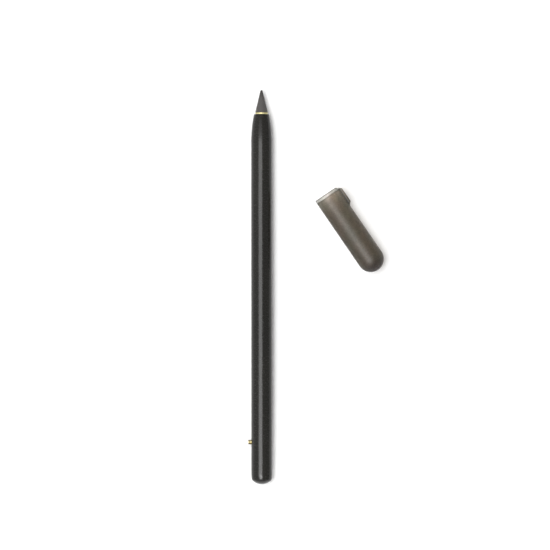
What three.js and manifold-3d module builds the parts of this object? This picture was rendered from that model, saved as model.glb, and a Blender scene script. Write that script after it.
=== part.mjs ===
// An everlasting pencil with its cap taken off and laid beside it.
// Millimetres, +Z up. The pencil lies along Y on the plane z = 0, with its point toward +Y.
// The origin is on that plane, under the middle of the pencil's length.
import * as THREE from "three";
import { mergeVertices } from "three/addons/utils/BufferGeometryUtils.js";
import Module from "manifold-3d";

// Barrel, turned from wood and lacquered
const BARREL_LENGTH = 150.2; // rear end to the face that the ferrule's collar sits on
const BARREL_RADIUS = 4.25;
const NOSE_LENGTH = 11.7; // from the straight barrel to the front face
const NOSE_LEDGE = 0.58; // from the collar to the sharp corner that the nose's edge is rounded from
const NOSE_EDGE_RADIUS = 0.4;
const REAR_DOME_RISE = 2; // of a dome as wide as the barrel, before its edge is rounded
const REAR_EDGE_RADIUS = 1.6; // blends the dome into the straight barrel
const DRILL_POINT_ANGLE = THREE.MathUtils.degToRad(118);

// Ferrule, a threaded brass bush glued into the front of the barrel
const COLLAR_RADIUS = 2.52;
const COLLAR_HEIGHT = 0.75; // the part that shows as a gold ring
const COLLAR_EDGE = 0.1;
const THREAD_LEAD = 0.2; // countersink where the screw goes in
const SLEEVE_WALL = 0.52;
const SLEEVE_PAST_SCREW = 2.15; // the sleeve is longer than the screw by this much
const SLEEVE_GROOVES = 3; // they hold the glue
const SLEEVE_GROOVE_WIDTH = 0.7;
const SLEEVE_GROOVE_DEPTH = 0.15;
const GLUE_GAP = 0.05; // round whatever is glued or pressed into a hole
const SLEEVE_END_ROOM = 0.6; // from the sleeve's end to the bottom of its hole

// Tip, a cone of graphite alloy on a steel screw
const TIP_LENGTH = 9.05;
const TIP_BASE_RADIUS = 2.55;
const TIP_BASE_CHAMFER = 0.2;
const TIP_APEX_RADIUS = 0.43;
const SCREW_RADIUS = 1.2; // the stem, over its thread
const SCREW_LENGTH = 7.2; // from the tip's base to the end of the stem
const SCREW_END_CHAMFER = 0.35;
const SCREW_UNDERCUT_DEPTH = 0.25; // where the thread runs out, under the tip
const SCREW_UNDERCUT_LENGTH = 0.6;
const SCREW_CLEARANCE = 0.08; // between the stem and the ferrule's thread
const PEG_RADIUS = 0.8; // the screw's front end, glued into the tip
const PEG_LENGTH = 3.2;
const PEG_END_ROOM = 0.2;

// Stud, a grooved brass pin pressed into the side of the barrel
const STUD_FROM_REAR = 17.07;
const STUD_RADIUS = 0.95;
const STUD_PROUD = 1.2; // stands out of the barrel by this much
const STUD_SEAT = 3;
const STUD_HEAD = 0.38; // from the stud's end to its groove
const STUD_GROOVE_WIDTH = 0.45;
const STUD_GROOVE_DEPTH = 0.14;
const STUD_EDGE = 0.08;

// Cap, a moulded sleeve that slips over either end of the barrel
const CAP_LENGTH = 37.3;
const CAP_CLEARANCE = 0.1; // between the cap's bore and the barrel
const CAP_WALL = 1.015;
const CAP_RIM_RADIUS = 0.2; // rounds the outside of the mouth
const CAP_LIP_WALL = 0.5; // the thinner wall just inside the mouth
const CAP_LIP_DEPTH = 1.3;
const KEYWAY_SIDE_CLEARANCE = 0.15; // between the stud and each side of its keyway
const KEYWAY_ROOF_CLEARANCE = 0.15;
const HOUSING_SIDE_WALL = 0.65;
const HOUSING_ROOF = 0.965;
const HOUSING_CORNER_RADIUS = 0.45;
const HOUSING_START = 0.7; // from the mouth to where the front slope leaves the cap's side
const HOUSING_FRONT_SLOPE = 0.97; // length of that slope along the cap
const HOUSING_FLAT = 6.3;
const HOUSING_REAR_SLOPE = 1.13;
const KEYWAY_END_WALL = 1.45; // from the keyway's round end to where the rear slope ends

// How the cap lies beside the pencil
const CAP_TURN = THREE.MathUtils.degToRad(34.36);
const CAP_MOUTH_X = 26.23;
const CAP_MOUTH_Y = 37.79;

// Fineness of the round pieces
const WIDE_SIDES = 48;
const SMALL_SIDES = 24;
const ARC_TOLERANCE = 0.01; // the most that a chord strays from its arc
const MERGE_DISTANCE = 1e-4; // points closer than this are one corner

// Sizes that follow from the ones above
const PENCIL_LENGTH = BARREL_LENGTH + COLLAR_HEIGHT + TIP_LENGTH;
const NOSE_FACE_RADIUS = COLLAR_RADIUS + NOSE_LEDGE;
const REAR_DOME_RADIUS = (BARREL_RADIUS ** 2 + REAR_DOME_RISE ** 2) / (2 * REAR_DOME_RISE);
const FERRULE_BORE_RADIUS = SCREW_RADIUS + SCREW_CLEARANCE;
const SLEEVE_RADIUS = FERRULE_BORE_RADIUS + SLEEVE_WALL;
const SLEEVE_LENGTH = SCREW_LENGTH - COLLAR_HEIGHT + SLEEVE_PAST_SCREW;
const BARREL_BORE_RADIUS = SLEEVE_RADIUS + GLUE_GAP;
const CAP_BORE_RADIUS = BARREL_RADIUS + CAP_CLEARANCE;
const CAP_RADIUS = CAP_BORE_RADIUS + CAP_WALL;
const CAP_LIP_RADIUS = CAP_RADIUS - CAP_LIP_WALL;
const KEYWAY_HALF_WIDTH = STUD_RADIUS + KEYWAY_SIDE_CLEARANCE;
const KEYWAY_ROOF_RADIUS = BARREL_RADIUS + STUD_PROUD + KEYWAY_ROOF_CLEARANCE;
const HOUSING_HALF_WIDTH = KEYWAY_HALF_WIDTH + HOUSING_SIDE_WALL;
const HOUSING_RADIUS = KEYWAY_ROOF_RADIUS + HOUSING_ROOF;
const HOUSING_END = HOUSING_START + HOUSING_FRONT_SLOPE + HOUSING_FLAT + HOUSING_REAR_SLOPE;

// A cutter reaches this far past the face that it cuts through
const OVERCUT = 1;

const wasm = await Module();
wasm.setup();

// Points [x, y] on an arc about (cx, cy), from angle a0 to angle a1, both ends included.
function arc(cx, cy, radius, a0, a1) {
  const widestStep = 2 * Math.acos(1 - Math.min(ARC_TOLERANCE / radius, 1));
  const steps = Math.max(2, Math.ceil(Math.abs(a1 - a0) / widestStep));
  return Array.from({ length: steps + 1 }, (_, i) => {
    const angle = a0 + ((a1 - a0) * i) / steps;
    return [cx + radius * Math.cos(angle), cy + radius * Math.sin(angle)];
  });
}

// One leg of a right triangle, from its longest side and the other leg.
function leg(hypotenuse, other) {
  return Math.sqrt(hypotenuse * hypotenuse - other * other);
}

// Turns a profile of [radius, y] points about the Y axis, with a flat side facing down.
function turned(profile, sides) {
  const points = profile.map(([radius, y]) => new THREE.Vector2(radius, y));
  return new THREE.LatheGeometry(points, sides, Math.PI / sides);
}

// Height of the axis of a turned piece that lies with its lowest flat side on z = 0.
function lyingHeight(radius, sides) {
  return radius * Math.cos(Math.PI / sides);
}

// An outline of [x, y] points extruded along Z, with half of its depth on each side of z = 0.
function plate(outline, depth) {
  const shape = new THREE.Shape(outline.map(([x, y]) => new THREE.Vector2(x, y)));
  return new THREE.ExtrudeGeometry(shape, { depth, bevelEnabled: false }).translate(0, 0, -depth / 2);
}

// A rectangle about (0, cy) with its four corners rounded, as [x, y] points.
function roundedRectangle(halfWidth, halfHeight, cy, radius) {
  const x = halfWidth - radius;
  const y = halfHeight - radius;
  const quarter = Math.PI / 2;
  return [
    ...arc(x, cy + y, radius, 0, quarter),
    ...arc(-x, cy + y, radius, quarter, 2 * quarter),
    ...arc(-x, cy - y, radius, 2 * quarter, 3 * quarter),
    ...arc(x, cy - y, radius, 3 * quarter, 4 * quarter),
  ];
}

function toSolid(geometry) {
  const bare = geometry.clone();
  bare.deleteAttribute("normal");
  bare.deleteAttribute("uv");
  const merged = mergeVertices(bare, MERGE_DISTANCE);
  const vertProperties = merged.attributes.position.array;
  const triVerts = new Uint32Array(merged.index.array);
  return new wasm.Manifold(new wasm.Mesh({ numProp: 3, vertProperties, triVerts }));
}

function toGeometry(solid) {
  const mesh = solid.getMesh();
  const geometry = new THREE.BufferGeometry();
  geometry.setAttribute("position", new THREE.BufferAttribute(mesh.vertProperties, 3));
  geometry.setIndex(new THREE.BufferAttribute(mesh.triVerts, 1));
  geometry.computeVertexNormals();
  return geometry;
}

function namedMesh(name, geometry, look) {
  const mesh = new THREE.Mesh(geometry, new THREE.MeshStandardMaterial(look));
  mesh.name = name;
  return mesh;
}

// Barrel: y runs from 0 at the rear end to BARREL_LENGTH at the front face.
// The rear dome and its edge blend touch the straight side, and so does the long arc of the nose.
function barrelGeometry() {
  const blendX = BARREL_RADIUS - REAR_EDGE_RADIUS;
  const blendBack = leg(REAR_DOME_RADIUS - REAR_EDGE_RADIUS, blendX);
  const blendY = REAR_DOME_RADIUS - blendBack;
  const blendAngle = Math.atan2(-blendBack, blendX);

  const noseDrop = BARREL_RADIUS - NOSE_FACE_RADIUS;
  const noseRadius = (NOSE_LENGTH ** 2 + noseDrop ** 2) / (2 * noseDrop);
  const noseX = BARREL_RADIUS - noseRadius;
  const noseY = BARREL_LENGTH - NOSE_LENGTH;
  const edgeRise = NOSE_LENGTH - NOSE_EDGE_RADIUS;
  const edgeX = noseX + leg(noseRadius - NOSE_EDGE_RADIUS, edgeRise);
  const edgeY = noseY + edgeRise;
  const edgeAngle = Math.atan2(edgeRise, edgeX - noseX);

  const boreEnd = BARREL_LENGTH - SLEEVE_LENGTH - SLEEVE_END_ROOM;
  const drillPoint = BARREL_BORE_RADIUS / Math.tan(DRILL_POINT_ANGLE / 2);

  const profile = [
    ...arc(0, REAR_DOME_RADIUS, REAR_DOME_RADIUS, -Math.PI / 2, blendAngle),
    ...arc(blendX, blendY, REAR_EDGE_RADIUS, blendAngle, 0).slice(1),
    ...arc(noseX, noseY, noseRadius, 0, edgeAngle),
    ...arc(edgeX, edgeY, NOSE_EDGE_RADIUS, edgeAngle, Math.PI / 2).slice(1),
    [BARREL_BORE_RADIUS, BARREL_LENGTH],
    [BARREL_BORE_RADIUS, boreEnd],
    [0, boreEnd - drillPoint],
  ];
  const holeRadius = STUD_RADIUS + GLUE_GAP;
  const holeDepth = STUD_SEAT + GLUE_GAP;
  const hole = new THREE.CylinderGeometry(holeRadius, holeRadius, holeDepth + OVERCUT, SMALL_SIDES)
    .translate(0, BARREL_RADIUS + (OVERCUT - holeDepth) / 2, 0)
    .rotateZ(Math.PI / 2)
    .translate(0, STUD_FROM_REAR, 0);
  return toGeometry(toSolid(turned(profile, WIDE_SIDES)).subtract(toSolid(hole)));
}

// Ferrule: y = 0 is the underside of the collar, and the sleeve runs down from it.
function ferruleGeometry() {
  const grooveStep = SLEEVE_LENGTH / (SLEEVE_GROOVES + 1);
  const grooved = [];
  for (let i = SLEEVE_GROOVES; i > 0; i -= 1) {
    const middle = -i * grooveStep;
    const low = middle - SLEEVE_GROOVE_WIDTH / 2;
    const high = middle + SLEEVE_GROOVE_WIDTH / 2;
    const bottom = SLEEVE_RADIUS - SLEEVE_GROOVE_DEPTH;
    grooved.push([SLEEVE_RADIUS, low], [bottom, low], [bottom, high], [SLEEVE_RADIUS, high]);
  }
  const edgeX = COLLAR_RADIUS - COLLAR_EDGE;
  const profile = [
    [FERRULE_BORE_RADIUS, -SLEEVE_LENGTH],
    [SLEEVE_RADIUS, -SLEEVE_LENGTH],
    ...grooved,
    [SLEEVE_RADIUS, 0],
    ...arc(edgeX, COLLAR_EDGE, COLLAR_EDGE, -Math.PI / 2, 0),
    ...arc(edgeX, COLLAR_HEIGHT - COLLAR_EDGE, COLLAR_EDGE, 0, Math.PI / 2),
    [FERRULE_BORE_RADIUS + THREAD_LEAD, COLLAR_HEIGHT],
    [FERRULE_BORE_RADIUS, COLLAR_HEIGHT - THREAD_LEAD],
    [FERRULE_BORE_RADIUS, -SLEEVE_LENGTH],
  ];
  return turned(profile, WIDE_SIDES);
}

// Tip: y = 0 is its base. The cone's side touches the round of the apex.
function tipGeometry() {
  const apexY = TIP_LENGTH - TIP_APEX_RADIUS;
  const toApex = Math.hypot(TIP_BASE_RADIUS, apexY);
  const lean = Math.acos(TIP_APEX_RADIUS / toApex) - Math.atan2(apexY, TIP_BASE_RADIUS);
  const chamferTop = TIP_BASE_RADIUS - TIP_BASE_CHAMFER * Math.tan(lean);
  const seatRadius = PEG_RADIUS + GLUE_GAP;
  const seatDepth = PEG_LENGTH + PEG_END_ROOM;
  const profile = [
    [0, seatDepth + seatRadius / Math.tan(DRILL_POINT_ANGLE / 2)],
    [seatRadius, seatDepth],
    [seatRadius, 0],
    [TIP_BASE_RADIUS - TIP_BASE_CHAMFER, 0],
    [chamferTop, TIP_BASE_CHAMFER],
    ...arc(0, apexY, TIP_APEX_RADIUS, lean, Math.PI / 2),
  ];
  return turned(profile, WIDE_SIDES);
}

// Screw: y = 0 is the shoulder that the tip's base sits against, with the peg in front of it.
function screwGeometry() {
  const undercutRadius = SCREW_RADIUS - SCREW_UNDERCUT_DEPTH;
  const profile = [
    [0, -SCREW_LENGTH],
    [SCREW_RADIUS - SCREW_END_CHAMFER, -SCREW_LENGTH],
    [SCREW_RADIUS, -SCREW_LENGTH + SCREW_END_CHAMFER],
    [SCREW_RADIUS, -SCREW_UNDERCUT_LENGTH],
    [undercutRadius, -SCREW_UNDERCUT_LENGTH],
    [undercutRadius, 0],
    [PEG_RADIUS, 0],
    [PEG_RADIUS, PEG_LENGTH],
    [0, PEG_LENGTH],
  ];
  return turned(profile, SMALL_SIDES);
}

// Stud: y = 0 is its end inside the barrel, and its length runs outward.
function studGeometry() {
  const end = STUD_SEAT + STUD_PROUD;
  const grooveTop = end - STUD_HEAD;
  const grooveMiddle = grooveTop - STUD_GROOVE_WIDTH / 2;
  const halfGroove = STUD_GROOVE_WIDTH / 2;
  const grooveRadius = (halfGroove ** 2 + STUD_GROOVE_DEPTH ** 2) / (2 * STUD_GROOVE_DEPTH);
  const grooveX = STUD_RADIUS - STUD_GROOVE_DEPTH + grooveRadius;
  const spread = Math.asin(halfGroove / grooveRadius);
  const profile = [
    [0, 0],
    [STUD_RADIUS - STUD_EDGE, 0],
    [STUD_RADIUS, STUD_EDGE],
    ...arc(grooveX, grooveMiddle, grooveRadius, Math.PI + spread, Math.PI - spread),
    [STUD_RADIUS, end - STUD_EDGE],
    [STUD_RADIUS - STUD_EDGE, end],
    [0, end],
  ];
  return turned(profile, SMALL_SIDES);
}

// Cap: y = 0 is the mouth and the closed end is at y = -CAP_LENGTH. The keyway is on the +X side.
function capShell() {
  const domeY = CAP_RADIUS - CAP_LENGTH;
  const profile = [
    ...arc(0, domeY, CAP_RADIUS, -Math.PI / 2, 0),
    ...arc(CAP_RADIUS - CAP_RIM_RADIUS, -CAP_RIM_RADIUS, CAP_RIM_RADIUS, 0, Math.PI / 2),
    [0, 0],
  ];
  return toSolid(turned(profile, WIDE_SIDES));
}

function capHollow() {
  const domeY = CAP_RADIUS - CAP_LENGTH;
  const profile = [
    ...arc(0, domeY, CAP_BORE_RADIUS, -Math.PI / 2, 0),
    [CAP_BORE_RADIUS, -CAP_LIP_DEPTH],
    [CAP_LIP_RADIUS, -CAP_LIP_DEPTH],
    [CAP_LIP_RADIUS, OVERCUT],
    [0, OVERCUT],
  ];
  return toSolid(turned(profile, WIDE_SIDES));
}

// The housing over the keyway: its side outline meets a rounded cross-section.
function housing() {
  const slopeStart = -HOUSING_START - HOUSING_FRONT_SLOPE;
  const side = plate(
    [
      [0, -HOUSING_START],
      [CAP_RADIUS, -HOUSING_START],
      [HOUSING_RADIUS, slopeStart],
      [HOUSING_RADIUS, slopeStart - HOUSING_FLAT],
      [CAP_RADIUS, -HOUSING_END],
      [0, -HOUSING_END],
    ],
    2 * HOUSING_HALF_WIDTH + OVERCUT,
  );
  const halfHeight = HOUSING_RADIUS / 2;
  const section = roundedRectangle(HOUSING_HALF_WIDTH, halfHeight, halfHeight, HOUSING_CORNER_RADIUS);
  const bar = plate(section, 2 * (HOUSING_END + OVERCUT))
    .rotateZ(-Math.PI / 2)
    .rotateX(Math.PI / 2);
  return toSolid(side).intersect(toSolid(bar));
}

// The keyway runs in from the mouth and ends in a half round that fits the stud.
function keyway() {
  const endY = KEYWAY_END_WALL - HOUSING_END + KEYWAY_HALF_WIDTH;
  const slot = plate(
    [
      [KEYWAY_HALF_WIDTH, OVERCUT],
      [-KEYWAY_HALF_WIDTH, OVERCUT],
      ...arc(0, endY, KEYWAY_HALF_WIDTH, Math.PI, 2 * Math.PI),
    ],
    KEYWAY_ROOF_RADIUS,
  );
  return toSolid(slot.rotateY(Math.PI / 2).translate(KEYWAY_ROOF_RADIUS / 2, 0, 0));
}

function capGeometry() {
  return toGeometry(capShell().add(housing()).subtract(capHollow()).subtract(keyway()));
}

const blackLacquer = { color: 0x2a2a28, roughness: 0.42, metalness: 0 };
const polishedBrass = { color: 0xd9c27a, roughness: 0.28, metalness: 1 };
const graphiteAlloy = { color: 0x5a5755, roughness: 0.55, metalness: 0.35 };
const plainSteel = { color: 0xb4b6b8, roughness: 0.35, metalness: 1 };
const smokePlastic = { color: 0x6d655b, roughness: 0.45, metalness: 0, transparent: true, opacity: 0.88 };

// The tip and its screw come out of the ferrule together.
const tip = new THREE.Group();
tip.position.y = BARREL_LENGTH + COLLAR_HEIGHT;
tip.add(
  namedMesh("graphite_tip", tipGeometry(), graphiteAlloy),
  namedMesh("tip_screw", screwGeometry(), plainSteel),
);

const ferrule = namedMesh("threaded_ferrule", ferruleGeometry(), polishedBrass);
ferrule.position.y = BARREL_LENGTH;

const stud = namedMesh("side_stud", studGeometry(), polishedBrass);
stud.rotation.z = Math.PI / 2;
stud.position.set(STUD_SEAT - BARREL_RADIUS, STUD_FROM_REAR, 0);

const pencil = new THREE.Group();
pencil.position.set(0, -PENCIL_LENGTH / 2, lyingHeight(BARREL_RADIUS, WIDE_SIDES));
pencil.add(namedMesh("barrel", barrelGeometry(), blackLacquer), ferrule, stud, tip);

const cap = namedMesh("cap", capGeometry(), smokePlastic);
cap.rotation.z = CAP_TURN;
cap.position.set(CAP_MOUTH_X, CAP_MOUTH_Y, lyingHeight(CAP_RADIUS, WIDE_SIDES));

const everlastingPencil = new THREE.Group();
everlastingPencil.add(pencil, cap);

export default everlastingPencil;
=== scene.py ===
import math

import bmesh
import bpy
import numpy as np
from mathutils import Matrix, Vector


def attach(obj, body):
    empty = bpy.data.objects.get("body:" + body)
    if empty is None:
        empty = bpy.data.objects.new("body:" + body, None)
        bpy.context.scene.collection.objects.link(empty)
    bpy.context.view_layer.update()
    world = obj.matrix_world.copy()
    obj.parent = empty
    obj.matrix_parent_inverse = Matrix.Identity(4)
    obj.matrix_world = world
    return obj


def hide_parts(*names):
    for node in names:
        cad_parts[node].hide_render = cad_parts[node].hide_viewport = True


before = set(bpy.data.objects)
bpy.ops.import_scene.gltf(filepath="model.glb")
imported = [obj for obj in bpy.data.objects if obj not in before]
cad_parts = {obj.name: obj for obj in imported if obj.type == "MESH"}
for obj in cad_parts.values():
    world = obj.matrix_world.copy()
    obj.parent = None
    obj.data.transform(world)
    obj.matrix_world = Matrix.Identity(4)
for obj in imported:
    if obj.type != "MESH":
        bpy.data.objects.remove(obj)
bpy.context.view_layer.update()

MM = 0.001
TO_MM = 1000.0

# Round pieces keep inside the flat sides of their solids, which have 48 or 24 sides
WIDE_FIT = math.cos(math.pi / 48)
SMALL_FIT = math.cos(math.pi / 24)

# Less than this is nothing, and points closer than the weld distance, in metres, become one
TINY = 1e-9
WELD_DISTANCE = 2e-6

# Barrel
BARREL_LENGTH = 150.2
BARREL_RADIUS = 4.25
NOSE_LENGTH = 11.7
NOSE_FACE_RADIUS = 3.1
NOSE_EDGE_RADIUS = 0.4
REAR_DOME_RISE = 2.0
REAR_DOME_RADIUS = (BARREL_RADIUS**2 + REAR_DOME_RISE**2) / (2 * REAR_DOME_RISE)
REAR_EDGE_RADIUS = 1.6
REAR_EASE_RADIUS = 14.0
REAR_EASE_ANGLE = math.radians(8)
BARREL_BORE_RADIUS = 1.85
BARREL_BORE_DEPTH = 9.2
DRILL_SLOPE = math.tan(math.radians(59))

# Ferrule
COLLAR_RADIUS = 2.52
COLLAR_HEIGHT = 0.75
COLLAR_EDGE = 0.1
SLEEVE_RADIUS = 1.8
SLEEVE_LENGTH = 8.6
SLEEVE_CHAMFER = 0.1
SLEEVE_GROOVES = 3
SLEEVE_GROOVE_WIDTH = 0.7
SLEEVE_GROOVE_DEPTH = 0.15
SLEEVE_GROOVE_SLOPE = 0.06
FERRULE_CREST = 1.28
FERRULE_ROOT = 1.43
FERRULE_MOUTH_WIDENING = 0.05
FERRULE_MOUTH_DEPTH = 0.1
FERRULE_THREAD_MARGIN = 0.2
FERRULE_THREAD_FADE = 0.3

# Tip and its screw
TIP_LENGTH = 9.05
TIP_BASE_RADIUS = 2.55
TIP_BASE_CHAMFER = 0.2
TIP_APEX_RADIUS = 0.5
TIP_SEAT_RADIUS = 0.85
TIP_SEAT_DEPTH = 3.4
SCREW_CREST = 1.2
SCREW_ROOT = 0.98
SCREW_LENGTH = 7.2
SCREW_POINT_RADIUS = 0.83
SCREW_POINT_LENGTH = 0.2
SCREW_UNDERCUT_RADIUS = 0.95
SCREW_UNDERCUT_LENGTH = 0.6
SCREW_THREAD_FROM_END = 0.25
SCREW_THREAD_FROM_UNDERCUT = 0.05
SCREW_THREAD_FADE = 0.35
PEG_RADIUS = 0.8
PEG_LENGTH = 3.2
PEG_CHAMFER = 0.1

# Both threads. Across one pitch, a ridge rises to a peak that is cut off flat at 1
THREAD_PITCH = 0.45
THREAD_ROWS_PER_PITCH = 10
RIDGE_PEAK = 1.35
RIDGE_SLOPE = 4.2

# Stud and its hole in the barrel
STUD_FROM_REAR = 17.07
STUD_RADIUS = 0.95
STUD_LENGTH = 4.2
STUD_SEAT = 3.0
STUD_HEAD = 0.38
STUD_GROOVE_WIDTH = 0.45
STUD_GROOVE_DEPTH = 0.14
STUD_EDGE = 0.08
STUD_HOLE_RADIUS = 1.0
STUD_HOLE_FLOOR = 1.2
STUD_HOLE_CUT_TO = 6.0  # past the side of the barrel
STUD_SURROUND = 2.0  # the barrel has close rows this far on both sides of the stud

# Cap
CAP_LENGTH = 37.3
CAP_RADIUS = 5.365
CAP_DOME_CENTRE = CAP_LENGTH - CAP_RADIUS
CAP_BORE_RADIUS = 4.35
CAP_RIM_RADIUS = 0.2
CAP_LIP_RADIUS = 4.865
CAP_LIP_DEPTH = 1.3
CAP_CORNER_FROM_AXIS = 4.45
KEYWAY_HALF_WIDTH = 1.1
KEYWAY_ROOF = 5.6
KEYWAY_END = 7.65
HOUSING_HALF_WIDTH = 1.75
HOUSING_RADIUS = 6.565
HOUSING_CORNER = 0.45
HOUSING_START = 0.7
HOUSING_TOP_START = 1.67
HOUSING_TOP_END = 7.97
HOUSING_END = 9.1
HOUSING_SOFTNESS = 0.12
HOUSING_FILLET = 0.22
HOUSING_RISE = HOUSING_RADIUS - CAP_RADIUS
HOUSING_FRONT_RUN = HOUSING_TOP_START - HOUSING_START
HOUSING_FRONT_SLOPE = HOUSING_FRONT_RUN / HOUSING_RISE
HOUSING_REAR_RUN = HOUSING_END - HOUSING_TOP_END
HOUSING_FOOT = math.sqrt(CAP_RADIUS**2 - HOUSING_HALF_WIDTH**2) + HOUSING_FILLET

# Columns of points about the cap's axis, from the middle of the keyway to the side away from it:
# first angle, last angle and how many. One stands just past the place where the keyway meets the outside
CAP_COLUMNS = (
    (0, 10.8, 10),
    (11.0, 11.82, 7),
    (11.835, 11.835, 1),
    (12.0, 14.8, 12),
    (15.1, 24.0, 22),
    (25.0, 178.0, 70),
)
# Rows of points along the cap, by their distance from the mouth, given in the same way
CAP_OUTER_ROWS = ((0.3, 2.0, 16), (2.4, 7.4, 12), (7.6, 9.5, 18), (10.5, CAP_DOME_CENTRE, 14))
CAP_LIP_ROWS = ((0, CAP_LIP_DEPTH, 9),)
CAP_KEYWAY_ROWS = ((CAP_LIP_DEPTH, CAP_LIP_DEPTH, 1), (CAP_LIP_DEPTH + 0.1, 6.4, 8))
CAP_PAST_KEYWAY_ROWS = ((KEYWAY_END + 0.002, KEYWAY_END + 0.002, 1), (8.4, CAP_DOME_CENTRE, 16))
CAP_RIM_ROWS = 7
CAP_DOME_ROWS = 24
KEYWAY_END_ROWS = 12

# How the cap's surfaces are found, by halving
CAP_REACH = 8.0  # past the outside, from the axis
RADIUS_HALVINGS = 34
MOUTH_REACH = 1.6  # past the end of the keyway's open side, from the mouth
MOUTH_HALVINGS = 30
WALL_TOLERANCE = 1e-4  # a wall counts as closed if it falls short by no more than this
OPEN_FROM = 1e-3  # a column that begins deeper than this begins at the open side
KEYWAY_AHEAD = 0.5  # the keyway is met only in directions with a greater cosine

# Places of the pencil and the cap
PENCIL_LENGTH = BARREL_LENGTH + COLLAR_HEIGHT + TIP_LENGTH
PENCIL_HEIGHT = BARREL_RADIUS * WIDE_FIT
HALF_LENGTH = PENCIL_LENGTH / 2
COLLAR_FRONT = BARREL_LENGTH + COLLAR_HEIGHT
STUD_Y = STUD_FROM_REAR - HALF_LENGTH
CAP_TURN = math.radians(34.36)
CAP_MOUTH = (26.23, 37.79)
CAP_HEIGHT = CAP_RADIUS * WIDE_FIT


def arc(cx, cy, radius, a0, a1, steps):
    """Points (x, y) on an arc about (cx, cy), both ends included."""
    angles = np.linspace(a0, a1, steps + 1)
    return [(cx + radius * math.cos(a), cy + radius * math.sin(a)) for a in angles]


def stretch(a, b, gap):
    """Points between a and b, both left out, no further apart than gap."""
    count = int(math.ceil(math.dist(a, b) / gap))
    parts = [i / count for i in range(1, count)]
    return [(a[0] + (b[0] - a[0]) * t, a[1] + (b[1] - a[1]) * t) for t in parts]


def spread(stretches):
    """Even values over several stretches, each given as the first, the last and how many."""
    return np.concatenate([np.linspace(*each) for each in stretches])


def lathe_rows(profile, sides):
    """A profile of (radius, y) as rows of points about the Y axis."""
    turn = np.linspace(0, 2 * math.pi, sides, endpoint=False)
    rows = []
    for radius, y in profile:
        if radius < TINY:
            rows.append(np.array([[0.0, y, 0.0]]))
        else:
            x = radius * np.sin(turn)
            z = radius * np.cos(turn)
            rows.append(np.stack([x, np.full(sides, float(y)), z], axis=1))
    return rows


def thread_rows(inner, outer, y_low, y_high, sides, fade):
    """A helical ridge about the Y axis that rises from inner to outer and fades out at both ends."""
    turn = np.linspace(0, 2 * math.pi, sides, endpoint=False)
    rows = []
    for y in np.arange(y_low, y_high + TINY, THREAD_PITCH / THREAD_ROWS_PER_PITCH):
        phase = (y / THREAD_PITCH - turn / (2 * math.pi)) % 1.0
        ridge = np.clip(RIDGE_PEAK - np.abs(phase - 0.5) * RIDGE_SLOPE, 0.0, 1.0)
        near_end = min(y - y_low, y_high - y) / fade
        ridge = ridge * min(1.0, max(0.0, near_end))
        radius = inner + (outer - inner) * ridge
        rows.append(np.stack([radius * np.sin(turn), np.full(sides, y), radius * np.cos(turn)], axis=1))
    return rows


def joined(name, rows, place, sharp_degrees, closed=False):
    """One mesh through rows of points. Rows of one point are poles. Placed by a matrix, in metres."""
    bm = bmesh.new()
    made = []
    for row in rows:
        made.append([bm.verts.new(place @ Vector(p)) for p in row])
    pairs = list(zip(made[:-1], made[1:]))
    if closed:
        pairs.append((made[-1], made[0]))
    for low, high in pairs:
        count = max(len(low), len(high))
        for i in range(count):
            j = (i + 1) % count
            if len(low) == 1:
                bm.faces.new((low[0], high[j], high[i]))
            elif len(high) == 1:
                bm.faces.new((low[i], low[j], high[0]))
            else:
                bm.faces.new((low[i], low[j], high[j], high[i]))
    bmesh.ops.remove_doubles(bm, verts=bm.verts, dist=WELD_DISTANCE)
    bmesh.ops.recalc_face_normals(bm, faces=bm.faces)
    mesh = bpy.data.meshes.new(name)
    bm.to_mesh(mesh)
    bm.free()
    return shown(name, mesh, sharp_degrees)


def turned(name, profile, place, sides, sharp_degrees):
    """A profile of (radius, y) turned about the Y axis."""
    return joined(name, lathe_rows(profile, sides), place, sharp_degrees)


def shown(name, mesh, sharp_degrees):
    """An object for a mesh, smooth except at edges sharper than the angle."""
    mesh.shade_smooth()
    mesh.set_sharp_from_angle(angle=math.radians(sharp_degrees))
    piece = bpy.data.objects.new(name, mesh)
    bpy.context.scene.collection.objects.link(piece)
    return piece


def placed(x, y, z, turn_z=0.0, fit=1.0):
    """From a piece's own frame in millimetres to the part's frame in metres."""
    own = Matrix.Diagonal((fit, 1.0, fit, 1.0))
    return Matrix.Scale(MM, 4) @ Matrix.Translation((x, y, z)) @ Matrix.Rotation(turn_z, 4, "Z") @ own


def pencil_place(y, fit=WIDE_FIT):
    """For a piece on the pencil's axis that begins at a distance from the pencil's rear end."""
    return placed(0, y - HALF_LENGTH, PENCIL_HEIGHT, fit=fit)


def rear_profile():
    """The dome of the rear end, its rounded edge and the long arc that eases it into the side."""
    ease_x = BARREL_RADIUS - REAR_EASE_RADIUS
    blend_x = ease_x + (REAR_EASE_RADIUS - REAR_EDGE_RADIUS) * math.cos(REAR_EASE_ANGLE)
    blend_back = math.sqrt((REAR_DOME_RADIUS - REAR_EDGE_RADIUS) ** 2 - blend_x**2)
    blend_y = REAR_DOME_RADIUS - blend_back
    blend_angle = math.atan2(-blend_back, blend_x)
    ease_y = blend_y + (REAR_EASE_RADIUS - REAR_EDGE_RADIUS) * math.sin(REAR_EASE_ANGLE)
    profile = arc(0, REAR_DOME_RADIUS, REAR_DOME_RADIUS, -math.pi / 2, blend_angle, steps=16)
    profile += arc(blend_x, blend_y, REAR_EDGE_RADIUS, blend_angle, -REAR_EASE_ANGLE, steps=20)[1:]
    profile += arc(ease_x, ease_y, REAR_EASE_RADIUS, -REAR_EASE_ANGLE, 0, steps=10)[1:]
    profile[0] = (0, 0)
    return profile


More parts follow.
